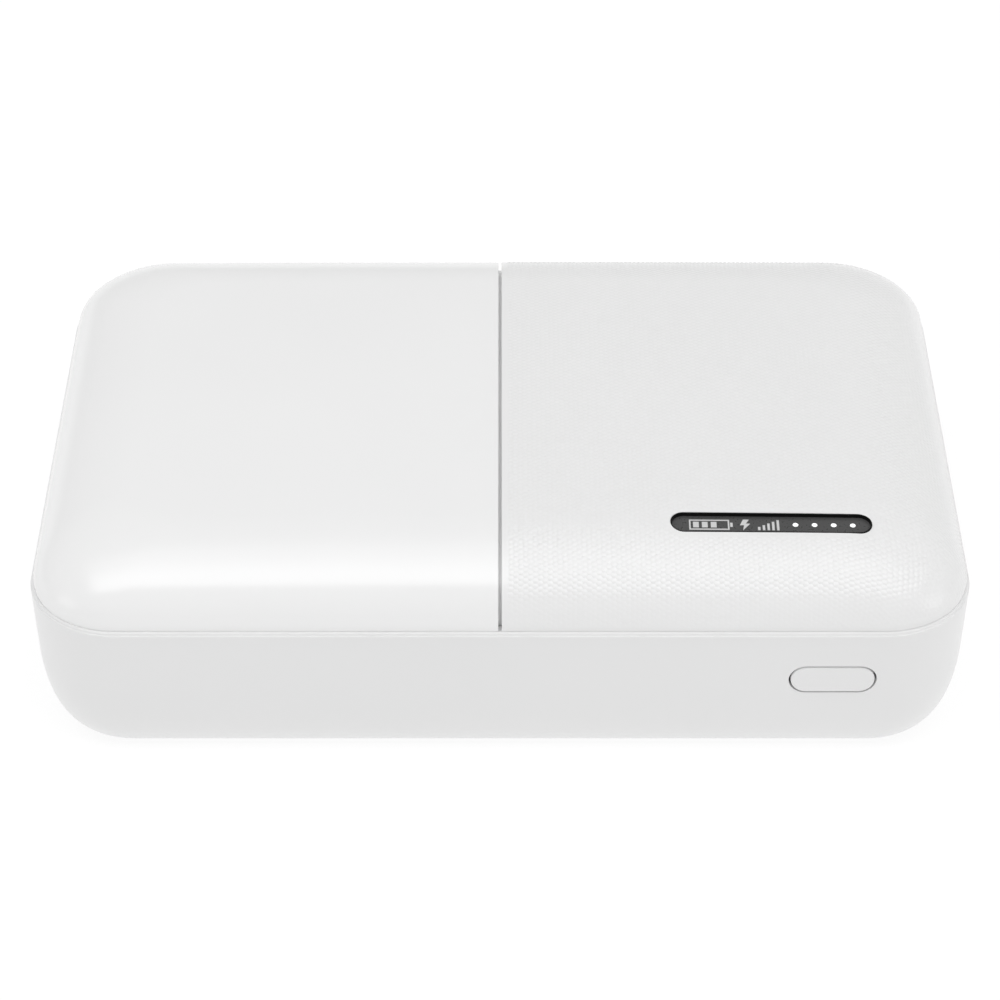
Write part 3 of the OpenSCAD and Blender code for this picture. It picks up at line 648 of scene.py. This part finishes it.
def right_skin():
    """The relief half: staggered six-sided cells, each a low dome with a crease round it."""
    a2, b2 = HEX_A / 2, HEX_B / 2
    x2 = ((a2 ** 2 + b2 ** 2) / 2) / a2
    x1 = (((a2 ** 2 + b2 ** 2) / 2) - HEX_B ** 2 / 4) / a2
    ni = int((HX1 + L) / a2) + 2
    nj = int((HY1 + L) / HEX_B) + 2
    I, J = np.meshgrid(np.arange(1, ni), np.arange(-nj, nj + 1), indexing="ij")
    I, J = I.ravel(), J.ravel()
    cu, cv = I * a2 + 0.1, J * HEX_B + (I % 2) * b2
    off = np.array([(x2, 0), (x1, b2), (-x1, b2), (-x2, 0), (-x1, -b2), (x1, -b2)])
    ku, kv = cu[:, None] + off[:, 0], cv[:, None] + off[:, 1]
    ok = (ku.min(1) > G + 0.10) & (plane_s(ku, kv).max(1) < L - 0.10)
    keep = set(zip(I[ok].tolist(), J[ok].tolist()))
    cu, cv, ku, kv = cu[ok], cv[ok], ku[ok], kv[ok]
    key = np.round(np.c_[ku.ravel(), kv.ravel()] * 2000).astype(np.int64)
    uniq, first, inv = np.unique(key, axis=0, return_index=True, return_inverse=True)
    inv = inv.reshape(-1, 6)
    pu, pv = ku.ravel()[first], kv.ravel()[first]
    nc = len(cu)
    uv = np.c_[np.r_[cu, pu], np.r_[cv, pv]]
    tri = [(i, nc + inv[i, k], nc + inv[i, (k + 1) % 6]) for i in range(nc) for k in range(6)]
    # boundary edges of the cell field
    e = np.sort(np.c_[inv.ravel(), np.roll(inv, -1, 1).ravel()], 1)
    eu, cnt = np.unique(e, axis=0, return_counts=True)
    rim = eu[cnt == 1]
    used = np.unique(rim)
    local = {int(k): i for i, k in enumerate(used)}
    pts = [Vector((pu[k], pv[k])) for k in used]
    edges = [(local[int(a)], local[int(b)]) for a, b in rim]
    # boundary of the half itself
    gv = groove_v()
    bound = [(G, y) for y in gv]
    def arc(x, y, a0, a1, n):
        return [(x + (RT + L) * math.cos(a), y + (RT + L) * math.sin(a)) for a in np.linspace(a0, a1, n)]
    bound += [(G + (CX1 - G) * k / 60, HY1 + L) for k in range(1, 60)]
    bound += arc(CX1, CY1, math.pi / 2, 0, 61)
    bound += [(HX1 + L, CY1 - 2 * CY1 * k / 40) for k in range(1, 40)]
    bound += arc(CX1, -CY1, 0, -math.pi / 2, 61)
    bound += [(CX1 - (CX1 - G) * k / 60, -HY1 - L) for k in range(1, 60)]
    m = len(pts)
    pts += [Vector(p) for p in bound]
    edges += [(m + i, m + (i + 1) % len(bound)) for i in range(len(bound))]
    vs, _, fs, ov, _, _ = delaunay_2d_cdt(pts, edges, [], 0, 1e-6)
    vs = np.array([tuple(p) for p in vs])
    src = np.full(len(vs), -1)
    for i, o in enumerate(ov):
        if o:
            src[i] = o[0]
    extra_uv, ids = [], np.zeros(len(vs), int)
    base = len(uv)
    for i in range(len(vs)):
        if 0 <= src[i] < m:
            ids[i] = nc + used[src[i]]
        else:
            ids[i] = base + len(extra_uv)
            extra_uv.append(vs[i])
    band = []
    for t in fs:
        c = vs[list(t)].mean(0)
        i = (c[0] - 0.1) / a2
        best, bd = None, 1e9
        for ii in (math.floor(i), math.ceil(i)):
            jj = round((c[1] - (ii % 2) * b2) / HEX_B)
            d = (ii * a2 + 0.1 - c[0]) ** 2 + (jj * HEX_B + (ii % 2) * b2 - c[1]) ** 2
            if d < bd:
                best, bd = (ii, jj), d
        if best in keep:
            continue
        for k in range(1, len(t) - 1):
            band.append((ids[t[0]], ids[t[k]], ids[t[k + 1]]))
    uv = np.vstack([uv, np.array(extra_uv)])
    p = wrap(uv[:, 0], uv[:, 1])
    nrm = wrap_normal(uv[:, 0], uv[:, 1])
    lift = np.zeros(len(uv))
    # deepest on the shoulder, shallower towards the rim
    lift[:nc] = HEX_H * np.interp(plane_s(cu, cv), [0, 1.2, 2.8, 8.0, 10.0, L], [1, 1, 1.35, 1.35, 0.65, 0.55])
    lift[:nc] *= np.interp(cv, [8, 20], [1, 0.55])
    edge = np.hypot(np.maximum(np.abs(p[:nc, 0] - WIN[0]) - (WIN[2] - WIN[3]) / 2, 0), p[:nc, 1] - WIN[1]) - WIN[3] / 2
    lift[:nc] *= np.clip((edge - 0.15) / 0.6, 0, 1)      # flat round the window
    corners = p[nc:nc + len(pu)].copy()
    p = p + nrm * lift[:, None]
    return p, tri + band, corners


def groove_skin():
    gv = groove_v()
    prof = [(-G, 0), (-GW - 0.003, -0.003), (-GW, -GB), (-GW, -GD), (0, -GD), (GW, -GD), (GW, -GB), (GW + 0.003, -0.003), (G, 0)]
    mid = wrap(np.full(len(gv), 1e-6), gv)
    nrm = wrap_normal(np.full(len(gv), 0.5), gv)
    nrm[:, 0] = 0
    nrm /= np.linalg.norm(nrm, axis=1, keepdims=True)
    cols = []
    for x, d in prof:
        if d == 0:
            cols.append(wrap(np.full(len(gv), x), gv))
        else:
            q = mid + nrm * d
            q[:, 0] = x
            cols.append(q)
    n = len(gv)
    f = []
    for j in range(len(prof) - 1):
        for i in range(n - 1):
            a, b = j * n + i, (j + 1) * n + i
            f.append((a, b, b + 1, a + 1))
    return np.vstack(cols), f


def inner_cover(d, dz, z0, steps=12):
    """Closed solid inside the cover, pulled in by d and down by dz."""
    rim = R0 - I0
    rings = [at(outline(HX - I0 - d, HY - I0 - d, rim - d, 12, 10, 8), z0)]
    for t in np.linspace(0, math.pi / 2, steps):
        u = 1 - max(math.cos(t), 0) ** (2 / NP)
        w = max(math.sin(t), 0) ** (2 / NP)
        o = outline(HX - I0 - A * u - d, HY - I0 - A * u - d, max(rim + (RT - rim) * u - d, 0.6), 12, 10, 8)
        rings.append(at(o, ZS + w * (B + crown(o[:, 0], o[:, 1]) - dz)))
    last = rings[-1][:, :2]
    for s in (0.85, 0.65, 0.45, 0.25, 0.1):
        o = last * s
        rings.append(at(o, ZS + B + crown(o[:, 0], o[:, 1]) - dz))
    return loft(rings)


def build_cover():
    lv, lf = left_skin()
    rv, rf, corners = right_skin()
    gv, gf = groove_skin()
    v, f = merge_parts([(lv, lf), (rv, rf), (gv, gf)])
    ob = make("top_cover_fine", v, f)
    bm = bmesh.new()
    bm.from_mesh(ob.data)
    bmesh.ops.remove_doubles(bm, verts=bm.verts, dist=0.002 * MM)
    open_edges = [e for e in bm.edges if e.is_boundary]
    high = [e for e in open_edges if min(p.co.z for p in e.verts) > (ZS + 0.6) * MM]
    if high:
        print("cover: open edges above the rim:", len(high))
    ret = bmesh.ops.extrude_edge_only(bm, edges=open_edges)
    low = [g for g in ret["geom"] if isinstance(g, bmesh.types.BMVert)]
    for p in low:
        x, y = p.co.x / MM, p.co.y / MM
        dx, dy = max(abs(x) - (HX - R0), 0), max(abs(y) - (HY - R0), 0)
        if abs(x) < HX - R0:
            dx, dy = 0, 1
        elif abs(y) < HY - R0:
            dx, dy = 1, 0
        k = math.hypot(dx, dy)
        p.co.x -= math.copysign(0.012 * dx / k, x) * MM
        p.co.y -= math.copysign(0.012 * dy / k, y) * MM
        p.co.z = ZS * MM
    bmesh.ops.holes_fill(bm, edges=[e for e in bm.edges if e.is_boundary], sides=0)
    bmesh.ops.recalc_face_normals(bm, faces=bm.faces)
    left = sum(1 for e in bm.edges if not e.is_manifold)
    print("cover: faces", len(bm.faces), "edges not manifold", left)
    bm.to_mesh(ob.data)
    bm.free()
    iv, jf = inner_cover(CWALL, CWALL - 0.2, ZS - 1)
    cut(ob, iv, jf)
    # locating lip
    n = (12, 10, 8)
    out = [at(outline(HX - 2.1 - c, HY - 2.1 - c, R0 - 2.1 - c, *n), z) for z, c in ((ZS - 2, 0.25), (ZS - 1.7, 0), (ZS + 0.8, 0))]
    lip = outward(make("lip", *loft(out)))
    inn = [at(outline(HX - 3.25, HY - 3.25, R0 - 3.25, *n), z) for z in (ZS - 3, ZS + 2)]
    boolean(lip, make("lip_in", *loft(inn)), "DIFFERENCE")
    boolean(ob, lip, "UNION")
    parts = []
    for x in (-30, -8, 14):
        for s in (-1, 1):
            y0, y1 = sorted((s * (HY - 3.25), s * (HY - 2.2)))
            parts.append(box(x - 3, x + 3, y0, y1, ZS - 4.7, ZS - 1.5))
    tv, tf = merge_parts(parts)
    add(ob, tv, tf)
    parts = []
    for x in (-30, -8, 14):
        for s in (-1, 1):
            y0 = s * (HY - 2.3)
            prof = [(y0, ZS - 4.55), (y0, ZS - 3.5), (s * (HY - 1.55), ZS - 3.65), (s * (HY - 1.55), ZS - 3.9)]
            vv = np.array([(xx, *p) for xx in (x - 3, x + 3) for p in prof])
            parts.append((vv, [(0, 1, 2, 3), (7, 6, 5, 4), (0, 4, 5, 1), (1, 5, 6, 2), (2, 6, 7, 3), (3, 7, 4, 0)]))
    tv, tf = merge_parts(parts)
    add(ob, tv, tf)
    # pad round the window, then the window itself with a softened upper edge
    pad = outward(make("pad", *loft([at(pill(WIN[2] + 4.4, WIN[3] + 3.6) + WIN[:2], z) for z in (POCKET - 0.2, 24.6)])))
    boolean(pad, make("keep", *inner_cover(0.6, 0.6, ZS - 1)), "INTERSECT")
    boolean(ob, pad, "UNION")
    cut(ob, *loft([at(pill(WIN[2] + 3.8, WIN[3] + 3.2) + WIN[:2], z) for z in (18.0, POCKET)]))

    def hole(g, dz):
        o = pill(WIN[2] + 0.08 + 2 * g, WIN[3] + 0.08 + 2 * g, 20, 40) + WIN[:2]
        return at(o, dz if dz > 10 else z_cover(o[:, 0], o[:, 1]) + dz)
    cut(ob, *loft([hole(0, 18.0), hole(0, -0.03), hole(0.02, 0.0), hole(0.05, 0.06), hole(0.05, 27.0)]))
    clean(ob)
    kd = kdtree.KDTree(len(corners))
    for i, c in enumerate(corners * MM):
        kd.insert(c, i)
    kd.balance()

    def creases(bm):
        hit = [kd.find(p.co)[2] < 4e-6 if p.co.x > 0 else False for p in bm.verts]
        bm.verts.index_update()
        k = 0
        for e in bm.edges:
            if hit[e.verts[0].index] and hit[e.verts[1].index]:
                e.smooth = False
                k += 1
        print("cover: creases", k)
    sharpen(ob, 32, creases)
    return piece(ob, M["cover"], "case", "cover_plastic", "top_cover")


# ------------------------------------------------------------------ indicator window
def build_window():
    def ring(g, dz):
        o = pill(WIN[2] + 2 * g, WIN[3] + 2 * g, 20, 40) + WIN[:2]
        return at(o, dz if dz > 10 else z_cover(o[:, 0], o[:, 1]) + dz)
    D = 0.39
    F = POCKET - 0.02
    rings = [ring(1.35, F - 0.6), ring(1.4, F - 0.55), ring(1.4, F - 0.05), ring(1.35, F), ring(0, F),
             ring(0, -0.03), ring(-0.02, -0.015), ring(-0.07, -0.015), ring(-0.09, -0.03), ring(-0.10, -D + 0.02), ring(-0.12, -D)]
    for g in (-0.4, -0.7, -1.0, -1.25):
        rings.append(ring(g, -D))
    ob = outward(make("indicator_window_fine", *loft(rings)))
    tools = [cyl(x + TIP, LED_Y, 0.30, 18, 26, 32) for x in LEDS]
    cut(ob, *merge_parts(tools))
    cut(ob, *box(LEDS[0] - 0.75, LEDS[3] + 0.75, LED_Y - 0.75, LED_Y + 0.75, 19.5, 21.9))
    clean(ob)
    sharpen(ob, 35)
    piece(ob, M["window"], "case", "window_plastic", "indicator_window")
    ob.data.materials.append(M["rim"])
    # faces at the window's edge above the pocket, the recess wall, take the near-black painted shade
    ax, ay = (WIN[2] - WIN[3]) / 2, WIN[3] / 2
    for q in ob.data.polygons:
        x, y, z = (c / MM for c in q.center)
        d = math.hypot(max(abs(x - WIN[0]) - ax, 0), y - WIN[1])
        if d > ay - 0.13 and z > POCKET + 0.1:
            q.material_index = 1

    # light guide: bar, four columns and four domed tips
    parts = []
    for x in LEDS:
        zt = float(z_cover(np.array(x + TIP), np.array(LED_Y))) - D + 0.015
        parts.append(cyl(x, LED_Y, 0.6, 9.75, 18.9, 36, 0.05))
        a = np.linspace(0, 2 * math.pi, 32, endpoint=False)
        o = np.c_[np.cos(a), np.sin(a)]
        prof = [(0.28, 18.8), (0.28, zt - 0.05), (0.25, zt - 0.01), (0.16, zt + 0.015), (0.05, zt + 0.025)]
        parts.append(loft([at(o * r + (x + TIP, LED_Y), z) for r, z in prof]))
    parts.append(rbox(LEDS[0] - 0.65, LEDS[3] + 0.65, LED_Y - 0.65, LED_Y + 0.65, 18.7, 19.7, 0.08))
    g = outward(make("light_guide_fine", *parts[0]))
    for q in parts[1:]:
        add(g, *q)
    clean(g)
    sharpen(g, 35)
    piece(g, M["clear"], "case", "clear_plastic", "light_guide")

    # printed pictogram: battery, bolt and a rising level scale, a thin layer on the window's floor
    def flat(poly, h=0.03, z=-D):
        poly = np.array(poly, float)
        lo = at(poly, z_cover(poly[:, 0], poly[:, 1]) + z - 0.004)
        hi = at(poly, z_cover(poly[:, 0], poly[:, 1]) + z + h)
        return loft([lo, hi])

    def bar(x0, x1, y0, y1, h=0.014):
        rings = []
        for y in np.linspace(y0, y1, int((y1 - y0) / 0.2) + 2):
            z0, z1 = z_cover(np.array([x0, x1]), np.array([y, y])) - D
            rings.append(np.array([(x0, y, z0 - 0.004), (x1, y, z1 - 0.004), (x1, y, z1 + h), (x0, y, z0 + h)]))
        return loft(rings)
    yc = WIN[1] - 0.02
    parts = [bar(18.3, 22.2, yc - 0.68, yc - 0.53), bar(18.3, 22.2, yc + 0.53, yc + 0.68),
             bar(18.3, 18.45, yc - 0.53, yc + 0.53), bar(22.05, 22.2, yc - 0.53, yc + 0.53)]
    parts.append(bar(22.28, 22.52, yc - 0.28, yc + 0.28))
    for k in range(3):
        x = 18.68 + 0.86 * k
        parts.append(bar(x, x + 0.56, yc - 0.38, yc + 0.38))
    parts.append(flat([(23.55, yc + 0.72), (23.22, yc - 0.06), (23.62, yc - 0.06), (23.50, yc - 0.72), (24.22, yc + 0.16), (23.80, yc + 0.16), (24.12, yc + 0.72)]))
    for k in range(5):
        x, h = 24.95 + 0.46 * k, 0.42 + 0.24 * k
        parts.append(bar(x, x + 0.24, yc - 0.68, yc - 0.68 + h))
    pk = outward(make("window_pictogram", *merge_parts(parts), smooth=False))
    piece(pk, M["ink"], "case", "window_plastic")


# ------------------------------------------------------------------ button
def build_button():
    y0 = -HY + DR * (ZS - BTN[1]) / ZS - 0.06
    o = lambda g: pill(BTN[2] - 2 * g, BTN[3] - 2 * g, 22, 12) + BTN[:2]
    rings = []
    # domed face, from its middle out, then the rounded edge and the skirt
    for g, y in ((1.4, y0 - 0.008), (1.1, y0 - 0.006), (0.8, y0 - 0.003), (0.5, y0 + 0.003), (0.25, y0 + 0.008)):
        rings.append(at(o(g), y))
    r = 0.15
    for a in (15, 35, 55, 75, 90):
        t = math.radians(a)
        rings.append(at(o(r * (1 - math.sin(t))), y0 + 0.01 + r * (1 - math.cos(t))))
    rings.append(at(o(0), -HY + 2.7))
    v, f = loft(rings)
    ob = outward(make("power_button_fine", along_y(v), f))
    q = lambda g: outline(5.3 - g, 2.4 - g, 0.8 - g, 8, 6, 4) + BTN[:2]
    v, f = loft([at(q(0.08), -HY + 2.6), at(q(0), -HY + 2.66), at(q(0), -HY + 3.09), at(q(0.08), -HY + 3.15)])
    add(ob, along_y(v), f)
    v, f = cyl(BTN[0], BTN[1], 1.1, -HY + 3.0, -HY + 3.35, 32, 0.05)
    add(ob, along_y(v), f)
    clean(ob)
    sharpen(ob, 35)
    return piece(ob, M["shell"], "button", "shell_plastic", "power_button")


build_shell()
build_cover()
build_window()
build_button()

# ------------------------------------------------------------------ carried-over CAD nodes
FINISH = {
    "led_shroud": "black", "status_leds": "ledp", "switch_plunger": "switchp", "switch_body": "black",
    "switch_frame": "steel", "switch_dome": "steel", "switch_legs": "tin", "main_board": "board", "board_screws": "steel",
    "usb_a_shell_1": "nickel", "usb_a_shell_2": "nickel", "usb_c_shell": "nickel",
    "usb_a_tongue_1": "socket", "usb_a_tongue_2": "socket", "usb_c_tongue": "black",
    "usb_a_contacts_1": "gold", "usb_a_contacts_2": "gold", "usb_c_contacts": "gold",
    "lower_cell": "foil", "upper_cell": "foil", "lower_cell_tabs": "tin", "upper_cell_tabs": "tin", "tab_solder": "tin",
    "tab_insulation": "amber", "cell_tape": "tape", "lower_foam_pad": "foam", "upper_foam_pad": "foam", "insulating_sheet": "card",
    "thermistor": "bead", "thermistor_leads": "lead", "power_inductor": "ferrite", "controller_chip": "chip", "protection_chips": "chip",
    "ceramic_capacitors": "ceramic", "chip_resistors": "chip", "bulk_capacitors": "tantalum",
}
for n, k in FINISH.items():
    ob = NODES[n]
    if not ob.material_slots:
        ob.data.materials.append(M[k])
    for s in ob.material_slots:
        s.material = M[k]

# the switch's snap dome, as its own copy of the mesh, carried by the case
_src = NODES["switch_dome"]
dome = bpy.data.objects.new("switch_dome_spring", _src.data.copy())
scene.collection.objects.link(dome)
dome.matrix_world = _src.matrix_world.copy()
piece(dome, M["steel"], "case", "steel", "switch_dome")
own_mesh(dome)

# ------------------------------------------------------------------ floor, light, camera
FLOOR_GLOW, WORLD, BOX_L, BOX_X = 0.78, 0.56, 2.3, 1.8
floor_v, floor_f = loft([at(outline(4000, 4000, 500, 10, 4, 4), 0.0 - 1.0), at(outline(4000, 4000, 500, 10, 4, 4), 0.0)])
floor = make("studio_floor", floor_v, floor_f, smooth=False)
m = bpy.data.materials.new("studio_floor_white")
t, p = nodes_of(m)
t.links.new(ramp(t, noise(t, 6, 2), [(0.3, (0.24, 0.24, 0.24)), (0.7, (0.26, 0.26, 0.26))]), p.inputs["Base Color"])
p.inputs["Roughness"].default_value = 0.9
p.inputs["Specular IOR Level"].default_value = 0.0
p.inputs["Emission Color"].default_value = (1, 1, 1, 1)     # a lit white table: no shadow round the object
p.inputs["Emission Strength"].default_value = FLOOR_GLOW
paint(floor, m)

world = bpy.data.worlds.new("studio")
scene.world = world
world.use_nodes = True
bg = world.node_tree.nodes.get("Background")
bg.inputs[0].default_value = (1, 1, 1, 1)
bg.inputs[1].default_value = WORLD


def area(name, loc, target, sx, sy, power):
    d = bpy.data.lights.new(name, "AREA")
    d.shape, d.size, d.size_y, d.energy = "RECTANGLE", sx, sy, power
    o = bpy.data.objects.new(name, d)
    scene.collection.objects.link(o)
    o.location = loc
    o.rotation_euler = (Vector(target) - Vector(loc)).to_track_quat("-Z", "Y").to_euler()
    return o


for _n, _y0, _y1, _k in (("softbox_back", 0.33, 0.0, 0.40), ("softbox_middle", 0.0, -0.219, 0.75), ("softbox_front", -0.219, -0.675, 1.02)):
    area(_n, (0, (_y0 + _y1) / 2, 1.26), (0, (_y0 + _y1) / 2, 0), BOX_X, _y0 - _y1, _k * BOX_L * math.pi * BOX_X * (_y0 - _y1))

for _n, _x, _k in (("side_softbox_right", 1.08, 1.6), ("side_softbox_left", -1.08, 1.0)):
    area(_n, (_x, -0.40, 0.31), (0, 0, 0.015), 0.42, 0.42, _k * math.pi * 0.42 ** 2)

cam_d = bpy.data.cameras.new("camera")
cam = bpy.data.objects.new("camera", cam_d)
scene.collection.objects.link(cam)
cam_d.sensor_fit = "HORIZONTAL"
cam_d.sensor_width = 36.0
cam_d.lens = 36.0 * 3117.0 / 1000.0
cam.location = (0.0, -0.25585, 0.21222)
cam.rotation_euler = (math.radians(90 - 38.39), 0, 0)
cam_d.clip_start, cam_d.clip_end = 0.01, 10
scene.camera = cam
scene.view_settings.view_transform = "Standard"
scene.view_settings.look = "None"
